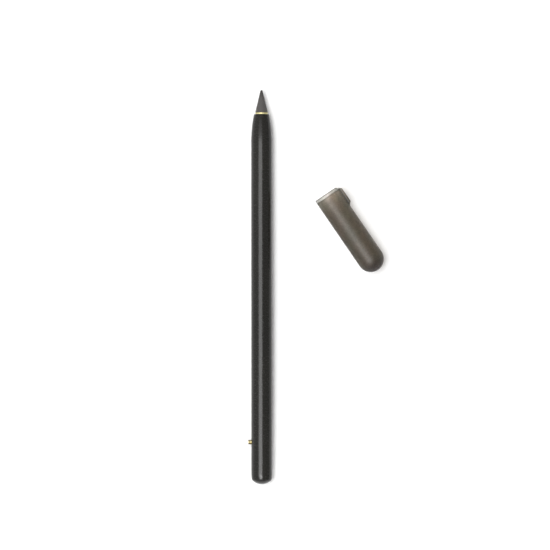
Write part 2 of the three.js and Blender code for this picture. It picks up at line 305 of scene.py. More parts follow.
def nose_profile():
    """The curve of the nose, its rounded edge, the flat face and the blind hole with its drilled end."""
    drop = BARREL_RADIUS - NOSE_FACE_RADIUS
    nose_radius = (NOSE_LENGTH**2 + drop**2) / (2 * drop)
    nose_x = BARREL_RADIUS - nose_radius
    nose_y = BARREL_LENGTH - NOSE_LENGTH
    rise = NOSE_LENGTH - NOSE_EDGE_RADIUS
    edge_x = nose_x + math.sqrt((nose_radius - NOSE_EDGE_RADIUS) ** 2 - rise**2)
    edge_y = nose_y + rise
    edge_angle = math.atan2(rise, edge_x - nose_x)
    bore_end = BARREL_LENGTH - BARREL_BORE_DEPTH
    profile = arc(nose_x, nose_y, nose_radius, 0, edge_angle, steps=24)
    profile += arc(edge_x, edge_y, NOSE_EDGE_RADIUS, edge_angle, math.pi / 2, steps=8)[1:]
    profile += [(BARREL_BORE_RADIUS, BARREL_LENGTH), (BARREL_BORE_RADIUS, bore_end)]
    profile += [(0, bore_end - BARREL_BORE_RADIUS / DRILL_SLOPE)]
    return profile


def cut_out(piece, cutter):
    """The mesh of a piece with the cutter taken out of it. Both objects are used up."""
    cut = piece.modifiers.new("hole", "BOOLEAN")
    cut.object = cutter
    cut.operation = "DIFFERENCE"
    cut.solver = "EXACT"
    bpy.context.view_layer.update()
    evaluated = piece.evaluated_get(bpy.context.evaluated_depsgraph_get())
    mesh = bpy.data.meshes.new_from_object(evaluated)
    bpy.data.objects.remove(piece)
    bpy.data.objects.remove(cutter)
    mesh.materials.clear()
    return mesh


def barrel_piece():
    rear = rear_profile()
    nose = nose_profile()
    near_stud = (BARREL_RADIUS, STUD_FROM_REAR - STUD_SURROUND)
    past_stud = (BARREL_RADIUS, STUD_FROM_REAR + STUD_SURROUND)
    profile = rear + stretch(rear[-1], near_stud, gap=3)
    profile += [near_stud] + stretch(near_stud, past_stud, gap=0.4) + [past_stud]
    profile += stretch(past_stud, nose[0], gap=6) + nose
    body = turned("barrel_body", profile, pencil_place(0), sides=144, sharp_degrees=30)
    hole = [(0, STUD_HOLE_FLOOR), (STUD_HOLE_RADIUS, STUD_HOLE_FLOOR)]
    hole += [(STUD_HOLE_RADIUS, STUD_HOLE_CUT_TO), (0, STUD_HOLE_CUT_TO)]
    hole_place = placed(0, STUD_Y, PENCIL_HEIGHT, turn_z=math.pi / 2)
    cutter = turned("hole_cutter", hole, hole_place, sides=48, sharp_degrees=30)
    return shown("barrel_turned", cut_out(body, cutter), sharp_degrees=30)


def ferrule_piece():
    sides = 96
    step = SLEEVE_LENGTH / (SLEEVE_GROOVES + 1)
    edge_x = COLLAR_RADIUS - COLLAR_EDGE
    bottom = SLEEVE_RADIUS - SLEEVE_GROOVE_DEPTH
    profile = [(FERRULE_CREST, -SLEEVE_LENGTH), (SLEEVE_RADIUS - SLEEVE_CHAMFER, -SLEEVE_LENGTH)]
    profile += [(SLEEVE_RADIUS, -SLEEVE_LENGTH + SLEEVE_CHAMFER)]
    for i in range(SLEEVE_GROOVES, 0, -1):
        low = -i * step - SLEEVE_GROOVE_WIDTH / 2
        high = -i * step + SLEEVE_GROOVE_WIDTH / 2
        profile += [(SLEEVE_RADIUS, low), (bottom, low + SLEEVE_GROOVE_SLOPE)]
        profile += [(bottom, high - SLEEVE_GROOVE_SLOPE), (SLEEVE_RADIUS, high)]
    profile += [(SLEEVE_RADIUS, 0)]
    profile += arc(edge_x, COLLAR_EDGE, COLLAR_EDGE, -math.pi / 2, 0, steps=6)
    profile += arc(edge_x, COLLAR_HEIGHT - COLLAR_EDGE, COLLAR_EDGE, 0, math.pi / 2, steps=6)
    profile += [(FERRULE_ROOT + FERRULE_MOUTH_WIDENING, COLLAR_HEIGHT)]
    profile += [(FERRULE_ROOT, COLLAR_HEIGHT - FERRULE_MOUTH_DEPTH)]
    thread_low = -SLEEVE_LENGTH + FERRULE_THREAD_MARGIN
    thread_high = COLLAR_HEIGHT - FERRULE_THREAD_MARGIN
    thread = thread_rows(FERRULE_ROOT, FERRULE_CREST, thread_low, thread_high, sides, FERRULE_THREAD_FADE)
    rows = lathe_rows(profile, sides) + thread[::-1]
    return joined("ferrule_turned", rows, pencil_place(BARREL_LENGTH), sharp_degrees=28, closed=True)


def tip_piece():
    apex_y = TIP_LENGTH - TIP_APEX_RADIUS
    lean = math.acos(TIP_APEX_RADIUS / math.hypot(TIP_BASE_RADIUS, apex_y))
    lean -= math.atan2(apex_y, TIP_BASE_RADIUS)
    shoulder = (TIP_BASE_RADIUS - TIP_BASE_CHAMFER * math.tan(lean), TIP_BASE_CHAMFER)
    round_apex = arc(0, apex_y, TIP_APEX_RADIUS, lean, math.pi / 2, steps=14)
    profile = [(0, TIP_SEAT_DEPTH + TIP_SEAT_RADIUS / DRILL_SLOPE), (TIP_SEAT_RADIUS, TIP_SEAT_DEPTH)]
    profile += [(TIP_SEAT_RADIUS, 0), (TIP_BASE_RADIUS - TIP_BASE_CHAMFER, 0)]
    profile += [shoulder] + stretch(shoulder, round_apex[0], gap=0.5) + round_apex
    profile[-1] = (0, TIP_LENGTH)
    return turned("tip_turned", profile, pencil_place(COLLAR_FRONT), sides=128, sharp_degrees=25)


def screw_piece():
    sides = 72
    point = [(0, -SCREW_LENGTH), (SCREW_POINT_RADIUS, -SCREW_LENGTH)]
    point += [(SCREW_ROOT, -SCREW_LENGTH + SCREW_POINT_LENGTH)]
    peg = [(SCREW_UNDERCUT_RADIUS, -SCREW_UNDERCUT_LENGTH), (SCREW_UNDERCUT_RADIUS, 0), (PEG_RADIUS, 0)]
    peg += [(PEG_RADIUS, PEG_LENGTH - PEG_CHAMFER), (PEG_RADIUS - PEG_CHAMFER, PEG_LENGTH)]
    peg += [(0, PEG_LENGTH)]
    thread_low = -SCREW_LENGTH + SCREW_THREAD_FROM_END
    thread_high = -SCREW_UNDERCUT_LENGTH - SCREW_THREAD_FROM_UNDERCUT
    thread = thread_rows(SCREW_ROOT, SCREW_CREST, thread_low, thread_high, sides, SCREW_THREAD_FADE)
    rows = lathe_rows(point, sides) + thread + lathe_rows(peg, sides)
    return joined("screw_turned", rows, pencil_place(COLLAR_FRONT, SMALL_FIT), sharp_degrees=40)


def stud_piece():
    half = STUD_GROOVE_WIDTH / 2
    middle = STUD_LENGTH - STUD_HEAD - half
    groove_radius = (half**2 + STUD_GROOVE_DEPTH**2) / (2 * STUD_GROOVE_DEPTH)
    groove_x = STUD_RADIUS - STUD_GROOVE_DEPTH + groove_radius
    spread_angle = math.asin(half / groove_radius)
    edge = STUD_RADIUS - STUD_EDGE
    profile = [(0, 0), (edge, 0), (STUD_RADIUS, STUD_EDGE)]
    profile += arc(
        groove_x, middle, groove_radius, math.pi + spread_angle, math.pi - spread_angle, steps=14
    )
    profile += arc(edge, STUD_LENGTH - STUD_EDGE, STUD_EDGE, 0, math.pi / 2, steps=5)
    profile += [(0, STUD_LENGTH)]
    place = placed(STUD_SEAT - BARREL_RADIUS, STUD_Y, PENCIL_HEIGHT, turn_z=math.pi / 2, fit=SMALL_FIT)
    return turned("stud_turned", profile, place, sides=72, sharp_degrees=30)


def smooth_less(a, b, soft):
    """The lesser of two distances, with the corner between them filled."""
    mix = np.clip(0.5 + 0.5 * (b - a) / soft, 0, 1)
    return b + (a - b) * mix - soft * mix * (1 - mix)


def smooth_more(a, b, soft):
    """The greater of two distances, with the edge between them rounded."""
    return -smooth_less(-a, -b, soft)


def housing_outside(x, z, s):
    """Signed distance to the outside of the keyway's housing, at depth s from the cap's mouth."""
    half = HOUSING_RADIUS / 2
    dx = np.abs(x - half) - (half - HOUSING_CORNER)
    dz = np.abs(z) - (HOUSING_HALF_WIDTH - HOUSING_CORNER)
    section = np.hypot(np.maximum(dx, 0), np.maximum(dz, 0)) + np.minimum(np.maximum(dx, dz), 0)
    section = section - HOUSING_CORNER
    front = (x - CAP_RADIUS) * HOUSING_FRONT_RUN - (s - HOUSING_START) * HOUSING_RISE
    rear = (x - CAP_RADIUS) * HOUSING_REAR_RUN - (HOUSING_END - s) * HOUSING_RISE
    front = front / math.hypot(HOUSING_FRONT_RUN, HOUSING_RISE)
    rear = rear / math.hypot(HOUSING_REAR_RUN, HOUSING_RISE)
    return smooth_more(section, smooth_more(front, rear, HOUSING_SOFTNESS), HOUSING_SOFTNESS)


def cap_outside(x, z, s):
    """Signed distance to the outside of the cap, at depth s from its mouth."""
    r = np.hypot(x, z)
    tube = r - CAP_RADIUS
    dome = np.hypot(r, s - CAP_DOME_CENTRE) - CAP_RADIUS
    body = np.where(s > CAP_DOME_CENTRE, dome, tube)
    rim_x = np.maximum(r - (CAP_RADIUS - CAP_RIM_RADIUS), 0)
    rim_s = np.maximum(CAP_RIM_RADIUS - s, 0)
    rim = np.hypot(rim_x, rim_s) - CAP_RIM_RADIUS
    body = np.where(s < CAP_RIM_RADIUS, rim, body)
    return smooth_less(body, housing_outside(x, z, s), HOUSING_FILLET)


def cap_outer_radius(theta, s):
    """How far the outside is from the axis, by halving."""
    low = np.zeros(np.broadcast(theta, s).shape)
    high = np.full(low.shape, CAP_REACH)
    for _ in range(RADIUS_HALVINGS):
        mid = (low + high) / 2
        outside = cap_outside(mid * np.cos(theta), mid * np.sin(theta), s) > 0
        high = np.where(outside, mid, high)
        low = np.where(outside, low, mid)
    return (low + high) / 2


def cap_inner_radius(theta, s, bore):
    """How far the hollow reaches from the axis: the bore, or the keyway where it is deeper."""
    side = np.maximum(np.abs(np.sin(theta)), TINY)
    round_centre = KEYWAY_END - KEYWAY_HALF_WIDTH
    past = np.clip(s - round_centre, 0, KEYWAY_HALF_WIDTH)
    width = np.sqrt(KEYWAY_HALF_WIDTH**2 - past**2)
    ahead = np.cos(theta)
    roof = KEYWAY_ROOF / np.maximum(ahead, KEYWAY_AHEAD)
    keyway = np.where((ahead > KEYWAY_AHEAD) & (s < KEYWAY_END), np.minimum(roof, width / side), 0)
    return np.maximum(bore, keyway)


def cap_columns():
    """Angles about the cap's axis, all the way round."""
    half = np.radians(spread(CAP_COLUMNS))
    return np.concatenate([half, [math.pi], -half[:0:-1]])


def cap_mouth(theta):
    """Where each column begins, and which columns begin at the open side of the keyway.

    The keyway is open until the front of its housing covers it. The corner of the mouth beside the housing
    slopes back in line with that front.
    """
    low = np.zeros(len(theta))
    high = np.full(len(theta), MOUTH_REACH)
    for _ in range(MOUTH_HALVINGS):
        mid = (low + high) / 2
        hollow = cap_inner_radius(theta, mid, CAP_LIP_RADIUS)
        solid = cap_outer_radius(theta, mid) >= hollow - WALL_TOLERANCE
        high = np.where(solid, mid, high)
        low = np.where(solid, low, mid)
    open_side = high > OPEN_FROM
    corner = (CAP_RADIUS * np.cos(theta) - CAP_CORNER_FROM_AXIS) * HOUSING_FRONT_SLOPE
    return np.maximum(np.where(open_side, high, 0.0), corner), open_side


def cap_row(theta, radius, depth):
    """Points about the cap's axis, one for each column."""
    return np.stack([radius * np.cos(theta), -depth, radius * np.sin(theta)], axis=1)


def cap_outer_rows(theta, mouth, open_side):
    """Rows from the tip of the dome to the mouth."""
    dome = np.linspace(0, math.pi / 2, CAP_DOME_ROWS + 1)[1:-1]
    rim = np.linspace(0, math.pi / 2, CAP_RIM_ROWS)
    depths = np.concatenate([
        CAP_RIM_RADIUS * (1 - np.cos(rim)),
        spread(CAP_OUTER_ROWS),
        CAP_DOME_CENTRE + CAP_RADIUS * np.sin(dome),
    ])
    rows = [np.array([[0.0, -CAP_LENGTH, 0.0]])]
    for depth in depths[::-1]:
        s = np.maximum(depth, mouth)
        radius = cap_outer_radius(theta, s)
        if depth < CAP_LIP_DEPTH:
            hollow = cap_inner_radius(theta, s, CAP_LIP_RADIUS)
            radius = np.where(open_side, np.maximum(radius, hollow), radius)
        rows.append(cap_row(theta, radius, s))
    return rows


def cap_inner_rows(theta, mouth):
    """Rows from the mouth along the lip, the bore and the keyway to the end of the hollow."""
    keyway_turn = np.linspace(0, math.pi / 2, KEYWAY_END_ROWS)
    keyway_end = KEYWAY_END - KEYWAY_HALF_WIDTH * (1 - np.sin(keyway_turn))
    past_keyway = spread(CAP_PAST_KEYWAY_ROWS)
    bore_rows = np.concatenate([spread(CAP_KEYWAY_ROWS), keyway_end, past_keyway])
    rows = []
    for bore, depths in ((CAP_LIP_RADIUS, spread(CAP_LIP_ROWS)), (CAP_BORE_RADIUS, bore_rows)):
        for depth in depths:
            s = np.maximum(depth, mouth)
            rows.append(cap_row(theta, cap_inner_radius(theta, s, bore), s))
    for angle in np.linspace(0, math.pi / 2, CAP_DOME_ROWS + 1)[1:-1]:
        s = np.full(len(theta), CAP_DOME_CENTRE + CAP_BORE_RADIUS * math.sin(angle))
        rows.append(cap_row(theta, np.full(len(theta), CAP_BORE_RADIUS * math.cos(angle)), s))
    rows.append(np.array([[0.0, -CAP_DOME_CENTRE - CAP_BORE_RADIUS, 0.0]]))
    return rows


def cap_piece():
    theta = cap_columns()
    mouth, open_side = cap_mouth(theta)
    rows = cap_outer_rows(theta, mouth, open_side) + cap_inner_rows(theta, mouth)
    place = placed(*CAP_MOUTH, CAP_HEIGHT, turn_z=CAP_TURN, fit=WIDE_FIT)
    return joined("cap_moulded", rows, place, sharp_degrees=35)


# Noise. Nearly all of it lies in the wide range, and most of it in the narrow one
NOISE_ROUGHNESS = 0.55
WIDE_NOISE = (0.3, 0.7)
NARROW_NOISE = (0.35, 0.65)

# The brass ring is darkest near its front edge, beside the tip, as painted shade, and lighter toward its
# rear edge. The graphite is darker near its point
RING_SHADE_TO = 0.1
RING_SHADE_LEVELS = (1.42, 0.58)
POINT_DARK_FROM = 3.5
POINT_DARK_TO = 0.5
POINT_DARK_LEVELS = (1.0, 0.55)

# A painted highlight runs along a line on the stud, this far toward the point of the pencil from its axis,
# and painted shade darkens the stud away from it
HIGHLIGHT_LINE = 0.33

# Distances from the cap's mouth are divided by this for a colour ramp, which runs from 0 to 1
RAMP_LENGTH = 40.0

# Colours of the cap by distance from the mouth: its rim, darkened as painted shade; the pale lip; the edge
# of the lip, a dark line of painted shade past the step;
# and the rest, with painted light near the open mouth that fades deeper in, and darker toward the closed
# end
SMOKE_TONES_AND_SHADE = (
    (0.0, (0.12, 0.112, 0.10)),
    (0.24, (0.25, 0.235, 0.21)),
    (0.48, (0.74, 0.725, 0.69)),
    (1.12, (0.66, 0.645, 0.61)),
    (1.32, (0.24, 0.22, 0.18)),
    (1.52, (0.26, 0.235, 0.195)),
    (2.0, (0.430, 0.381, 0.303)),
    (3.8, (0.326, 0.286, 0.222)),
    (8.0, (0.215, 0.180, 0.132)),
    (32.0, (0.163, 0.131, 0.093)),
    (34.8, (0.094, 0.070, 0.051)),
    (37.6, (0.055, 0.037, 0.028)),
)

# What the cap lets through of a lamp's light, by distance from the mouth
SMOKE_SHADOW = (
    (1.32, (0.90, 0.90, 0.89)),
    (2.0, (0.78, 0.77, 0.76)),
    (9.6, (0.74, 0.73, 0.72)),
    (12.8, (0.68, 0.67, 0.65)),
)


class Nodes:
    """Short ways to make and link the nodes of a material or of the world."""

    def __init__(self, owner, output):
        owner.use_nodes = True
        self.owner = owner
        self.tree = owner.node_tree
        self.tree.nodes.clear()
        self.output = self.add(output)

    def finished(self, surface):
        self.link(surface, self.output.inputs["Surface"])
        return self.owner

    def add(self, kind, **values):
        node = self.tree.nodes.new(kind)
        for key, value in values.items():
            setattr(node, key, value)
        return node

    def link(self, source, target):
        self.tree.links.new(source, target)

    def shader(self, kind, **values):
        node = self.add(kind)
        for key, value in values.items():
            node.inputs[key.replace("_", " ")].default_value = value
        return node

    def place(self, scale=(1, 1, 1), turn=0.0, shift=(0, 0, 0)):
        """Where a point of the piece is, in metres in the part's frame, stretched, turned and moved."""
        where = self.add("ShaderNodeTexCoord")
        mapping = self.add("ShaderNodeMapping", vector_type="POINT")
        mapping.inputs["Location"].default_value = shift
        mapping.inputs["Rotation"].default_value = (0, 0, turn)
        mapping.inputs["Scale"].default_value = scale
        self.link(where.outputs["Object"], mapping.inputs["Vector"])
        return mapping.outputs["Vector"]

    def axis(self, vector, name):
        node = self.add("ShaderNodeSeparateXYZ")
        self.link(vector, node.inputs["Vector"])
        return node.outputs[name]

    def noise(self, vector, scale, detail):
        node = self.add("ShaderNodeTexNoise")
        node.inputs["Scale"].default_value = scale
        node.inputs["Detail"].default_value = detail
        node.inputs["Roughness"].default_value = NOISE_ROUGHNESS
        self.link(vector, node.inputs["Vector"])
        return node.outputs["Fac"]

    def ramp(self, value, stops):
        node = self.add("ShaderNodeValToRGB")
        ends = node.color_ramp.elements
        while len(ends) < len(stops):
            ends.new(0.5)
        for end, (position, colour) in zip(ends, stops):
            end.position = position
            end.color = (*colour, 1)
        self.link(value, node.inputs["Fac"])
        return node.outputs["Color"]

    def span(self, value, ends, results):
        """The first result up to the first end, the second from the second end on, even between them."""
        node = self.add("ShaderNodeMapRange")
        node.inputs["From Min"].default_value = ends[0]
        node.inputs["From Max"].default_value = ends[1]
        node.inputs["To Min"].default_value = results[0]
        node.inputs["To Max"].default_value = results[1]
        self.link(value, node.inputs["Value"])
        return node.outputs["Result"]

    def math(self, operation, a, b=0.0):
        node = self.add("ShaderNodeMath", operation=operation)
        for slot, value in zip(node.inputs, (a, b)):
            if isinstance(value, (int, float)):
                slot.default_value = value
            else:
                self.link(value, slot)
        return node.outputs["Value"]

    def plus(self, a, b):
        return self.math("ADD", a, b)

    def times(self, a, b):
        return self.math("MULTIPLY", a, b)

    def scaled(self, colour, factor):
        node = self.add("ShaderNodeVectorMath", operation="SCALE")
        self.link(colour, node.inputs[0])
        self.link(factor, node.inputs["Scale"])
        return node.outputs["Vector"]

    def bump(self, shader, height, distance, strength):
        node = self.add("ShaderNodeBump")
        node.inputs["Distance"].default_value = distance
        node.inputs["Strength"].default_value = strength
        self.link(height, node.inputs["Height"])
        self.link(node.outputs["Normal"], shader.inputs["Normal"])

    def mix(self, pick, first, second):
        node = self.add("ShaderNodeMixShader")
        self.link(pick, node.inputs["Fac"])
        self.link(first, node.inputs[1])
        self.link(second, node.inputs[2])
        return node.outputs["Shader"]

    def seen(self):
        """1 for what the camera, gloss or clear plastic shows, and 0 for all other light."""
        path = self.add("ShaderNodeLightPath")
        seen = self.math("MAXIMUM", path.outputs["Is Camera Ray"], path.outputs["Is Glossy Ray"])
        return self.math("MAXIMUM", seen, path.outputs["Is Transmission Ray"])


def material_nodes(name):
    return Nodes(bpy.data.materials.new(name), "ShaderNodeOutputMaterial")


def lacquer_material():
    """Black satin lacquer over fine wood: long faint grain, tiny pores, a speckled gloss."""
    n = material_nodes("black_lacquer")
    shader = n.shader("ShaderNodeBsdfPrincipled", IOR=1.36)
    grain = n.noise(n.place(scale=(1, 0.035, 1)), scale=2600, detail=4)
    speck = n.noise(n.place(), scale=2300, detail=2)
    cloud = n.noise(n.place(scale=(1, 0.25, 1)), scale=160, detail=2)
    colour = n.ramp(cloud, [(0.35, (0.0088, 0.0082, 0.0065)), (0.65, (0.0130, 0.0122, 0.0100))])
    dust = n.plus(n.span(speck, NARROW_NOISE, (0.87, 1.01)), n.span(grain, NARROW_NOISE, (-0.01, 0.09)))
    n.link(n.scaled(colour, dust), shader.inputs["Base Color"])
    rough = n.plus(n.span(grain, WIDE_NOISE, (0.11, 0.18)), n.span(speck, (0.48, 0.66), (0.0, 0.20)))
    n.link(rough, shader.inputs["Roughness"])
    height = n.plus(n.times(grain, 0.6), n.times(speck, 0.4))
    n.bump(shader, height, distance=0.02 * MM, strength=0.9)
    return n.finished(shader.outputs["BSDF"])


def brass_material():
    """Turned brass with fine tool rings and a faint warm film."""
    n = material_nodes("brass_turned")
    shader = n.shader("ShaderNodeBsdfPrincipled", Metallic=1.0, IOR=1.45)
    rings = n.noise(n.place(scale=(0.02, 1, 0.02)), scale=14000, detail=3)
    film = n.noise(n.place(), scale=900, detail=2)
    colour = n.ramp(film, [(0.3, (0.61, 0.555, 0.29)), (0.7, (0.69, 0.635, 0.365))])
    front = COLLAR_FRONT - HALF_LENGTH
    ring = ((front - COLLAR_HEIGHT) * MM, (front - RING_SHADE_TO) * MM)
    # Painted shade darkens the ring toward its front edge, beside the tip; toward its rear edge it is
    # lighter
    along_tone = n.span(n.axis(n.place(), "Y"), ring, RING_SHADE_LEVELS)
    n.link(n.scaled(colour, along_tone), shader.inputs["Base Color"])
    n.link(n.span(rings, WIDE_NOISE, (0.56, 0.7)), shader.inputs["Roughness"])
    n.bump(shader, rings, distance=0.012 * MM, strength=0.5)
    return n.finished(shader.outputs["BSDF"])


def pin_material():
    """The brass of the side stud, with a painted highlight along a line near its top and painted shade that
    darkens it toward its edges.
    """
    n = material_nodes("brass_pin_painted_highlight")
    shader = n.shader("ShaderNodeBsdfPrincipled", Metallic=1.0, IOR=1.45)
    rings = n.noise(n.place(scale=(1, 0.02, 0.02)), scale=14000, detail=3)
    film = n.noise(n.place(), scale=1500, detail=2)
    off_line = n.math("SUBTRACT", n.axis(n.place(), "Y"), (STUD_Y + HIGHLIGHT_LINE) * MM)
    off_line = n.times(n.math("ABSOLUTE", off_line), TO_MM)
    off_line = n.plus(off_line, n.span(film, WIDE_NOISE, (-0.1, 0.1)))
    # Painted highlight on the line, painted shade toward the stud's edges
    colour = n.ramp(off_line, [
        (0.10, (0.58, 0.51, 0.31)),
        (0.30, (0.30, 0.25, 0.11)),
        (0.60, (0.25, 0.205, 0.09)),
        (0.85, (0.14, 0.115, 0.058)),
    ])
    n.link(colour, shader.inputs["Base Color"])
    n.link(n.span(rings, WIDE_NOISE, (0.34, 0.46)), shader.inputs["Roughness"])
    n.bump(shader, rings, distance=0.012 * MM, strength=0.5)
    return n.finished(shader.outputs["BSDF"])


def graphite_material():
    """Graphite alloy, dense and dull grey, with the rings of the lathe."""
    n = material_nodes("graphite_alloy_dull")
    shader = n.shader("ShaderNodeBsdfPrincipled", Metallic=0.06, IOR=1.25)
    rings = n.noise(n.place(scale=(0.03, 1, 0.03)), scale=9000, detail=3)
    grain = n.noise(n.place(), scale=5200, detail=3)
    colour = n.ramp(grain, [(0.3, (0.069, 0.0645, 0.063)), (0.7, (0.101, 0.0945, 0.092))])
    near_point = ((HALF_LENGTH - POINT_DARK_FROM) * MM, (HALF_LENGTH - POINT_DARK_TO) * MM)
    along_tone = n.span(n.axis(n.place(), "Y"), near_point, POINT_DARK_LEVELS)
    n.link(n.scaled(colour, along_tone), shader.inputs["Base Color"])
    n.link(n.span(grain, WIDE_NOISE, (0.5, 0.62)), shader.inputs["Roughness"])
    height = n.plus(n.times(rings, 0.7), n.times(grain, 0.3))
    n.bump(shader, height, distance=0.03 * MM, strength=0.5)
    return n.finished(shader.outputs["BSDF"])


def steel_material():
    """Plain steel with the marks of thread rolling."""
    n = material_nodes("plain_steel_rolled")
    shader = n.shader("ShaderNodeBsdfPrincipled", Metallic=1.0, IOR=1.45)
    rings = n.noise(n.place(scale=(0.1, 1, 0.1)), scale=9000, detail=3)
    colour = n.ramp(rings, [(0.3, (0.42, 0.42, 0.43)), (0.7, (0.56, 0.56, 0.57))])
    n.link(colour, shader.inputs["Base Color"])
    n.link(n.span(rings, WIDE_NOISE, (0.24, 0.38)), shader.inputs["Roughness"])
    n.bump(shader, rings, distance=0.01 * MM, strength=0.4)
    return n.finished(shader.outputs["BSDF"])


def along_cap(distance):
    """A distance from the cap's mouth as a part of the ramp's length."""
    return distance / RAMP_LENGTH


def cap_own_place(n):
    """Places in the cap's own frame, where X points to the keyway's housing and Y out of the mouth."""
    cos_turn = math.cos(CAP_TURN)
    sin_turn = math.sin(CAP_TURN)
    x = -(CAP_MOUTH[0] * cos_turn + CAP_MOUTH[1] * sin_turn) * MM
    y = -(-CAP_MOUTH[0] * sin_turn + CAP_MOUTH[1] * cos_turn) * MM
    return n.place(turn=-CAP_TURN, shift=(x, y, 0))


def flank_shade(n, height, across, depth):
    """Painted light and shade: darker low on the flanks, which are also seen through more of the wall,
    darker on the side away from the housing and lighter toward it.

    Little of this shows on the lip.
    """
    flank = n.span(height, (4.5 * MM, 10.0 * MM), (0.60, 1.0))
    flank = n.times(flank, n.span(across, (-3.0, 4.5), (0.84, 1.10)))
    past_lip = n.span(depth, (along_cap(1.12), along_cap(1.44)), (0.25, 1.0))
    return n.plus(n.times(n.math("SUBTRACT", flank, 1.0), past_lip), 1.0)


def housing_shade(n, across, depth):
    """Darker on the keyway's housing, most of all along its foot and its rim, between its two ends."""
    foot = n.math("ABSOLUTE", n.math("SUBTRACT", across, HOUSING_FOOT + 0.1))
    shade = n.span(foot, (0.15, 0.5), (0.20, 1.0))
    shade = n.times(shade, n.span(across, (HOUSING_FOOT, HOUSING_FOOT + 0.3), (1.0, 0.72)))
    shade = n.times(shade, n.span(across, (HOUSING_RADIUS - 0.3, HOUSING_RADIUS - 0.1), (1.0, 0.6)))
    before = n.span(depth, (along_cap(0.64), along_cap(1.44)), (1.0, 0.0))
    beyond = n.span(depth, (along_cap(HOUSING_END), along_cap(HOUSING_END + 0.2)), (0.0, 1.0))
    return n.math("MAXIMUM", shade, n.math("MAXIMUM", before, beyond))


def smoke_colour_and_shade(n, own, depth):
    """The cap's colours with painted light and shade along it, on its flanks and on its housing, and with a
    fine speckle, broader patches and a slow drift of hue.
    """
    across = n.times(n.axis(own, "X"), TO_MM)
    colour = n.ramp(depth, [(along_cap(distance), tone) for distance, tone in SMOKE_TONES_AND_SHADE])
    shade = n.times(flank_shade(n, n.axis(own, "Z"), across, depth), housing_shade(n, across, depth))
    speckle = n.noise(n.place(shift=(0.3, 0.1, 0.2)), scale=2200, detail=2)
    shade = n.times(shade, n.span(speckle, WIDE_NOISE, (0.72, 1.26)))
    patches = n.noise(n.place(shift=(0.1, 0.2, 0.4)), scale=620, detail=2)
    shade = n.times(shade, n.span(patches, WIDE_NOISE, (0.86, 1.15)))
    slow = n.noise(n.place(), scale=160, detail=1)
    drift = n.ramp(slow, [(0.35, (0.94, 1.0, 0.97)), (0.65, (1.05, 0.99, 1.0))])
    stain = n.add("ShaderNodeVectorMath", operation="MULTIPLY")
    n.link(n.scaled(colour, shade), stain.inputs[0])
    n.link(drift, stain.inputs[1])
    return stain.outputs["Vector"]


def smoke_material():
    """Smoke-coloured plastic with a frosted skin and a pale thin lip. It casts a clear, tinted shadow."""
    n = material_nodes("smoke_plastic_frosted")
    shader = n.shader("ShaderNodeBsdfPrincipled", IOR=1.4, Transmission_Weight=0.75)
    own = cap_own_place(n)
    mottle = n.noise(n.place(), scale=420, detail=3)
    depth = n.times(n.axis(own, "Y"), -TO_MM)
    depth = n.plus(depth, n.span(mottle, WIDE_NOISE, (-0.05, 0.05)))
    depth = n.math("DIVIDE", depth, RAMP_LENGTH)
    # The base colour carries painted light and shade along the cap, on its flanks and on its housing
    n.link(smoke_colour_and_shade(n, own, depth), shader.inputs["Base Color"])
    skin = n.noise(n.place(), scale=3400, detail=2)
    rough = n.times(n.span(skin, WIDE_NOISE, (0.45, 0.58)), n.span(depth, (0.5, 0.8), (1.0, 0.93)))
    n.link(rough, shader.inputs["Roughness"])
    n.bump(shader, skin, distance=0.03 * MM, strength=0.7)
    clear = n.ramp(depth, [(along_cap(distance), tone) for distance, tone in SMOKE_SHADOW])
    through = n.add("ShaderNodeBsdfTransparent")
    n.link(clear, through.inputs["Color"])
    in_shadow = n.add("ShaderNodeLightPath").outputs["Is Shadow Ray"]
    return n.finished(n.mix(in_shadow, shader.outputs["BSDF"], through.outputs["BSDF"]))


# Camera, straight above as in the photograph
IMAGE_CENTRE = (5.43 * MM, 4.91 * MM)
CAMERA_ROLL = math.radians(-0.035)
IMAGE_WIDTH = 223.3 * MM
CAMERA_HEIGHT = 2.0
CAMERA_CLIP = (0.01, 20)
SEEN_HEIGHT = 4.25 * MM
SENSOR = 36.0


def add_camera():
    data = bpy.data.cameras.new("camera")
    data.sensor_width = SENSOR
    data.lens = SENSOR * (CAMERA_HEIGHT - SEEN_HEIGHT) / IMAGE_WIDTH
    data.clip_start = CAMERA_CLIP[0]
    data.clip_end = CAMERA_CLIP[1]
    camera = bpy.data.objects.new("camera", data)
    camera.location = (*IMAGE_CENTRE, CAMERA_HEIGHT)
    camera.rotation_euler = (0, 0, CAMERA_ROLL)
    bpy.context.scene.collection.objects.link(camera)
    bpy.context.scene.camera = camera


# Each distant lamp spans these angles as seen from the table, in degrees to the left and to the rear.
# The softbox draws the streak along the barrel, brighter toward the rear and faint on the nose. Its parts
# are given with their angles to the rear and their radiance.
# The spot lamp draws the bright end of the streak and gives no soft light. The fill lamp has no reflection.
LAMP_DISTANCE = 1.0
SOFTBOX_LEFT = (-6, 32)
SOFTBOX_PARTS = {
    "softbox": ((-3, 4), 4.9),
    "softbox_front": ((-8.5, -3), 5.6),
    "softbox_end": ((4, 17), 6.3),
    "softbox_faint": ((-22, -8.5), 1.1),
}
SPOT_LEFT = (-4, 24)
SPOT_REAR = (10, 34)
SPOT_RADIANCE = 9.5
FILL_LEFT = (5, 19)
FILL_REAR = (-24, 14)
FILL_RADIANCE = 5.9

# A small glow lamp close beyond each end of the pencil, to its right, lightens the shadow there. It has
# no reflection. The place is the front one's.
GLOW_PLACE = (15 * MM, 110 * MM, 30 * MM)
GLOW_SIZE = 20 * MM
GLOW_FRONT_RADIANCE = 3.0
GLOW_REAR_RADIANCE = 4.6

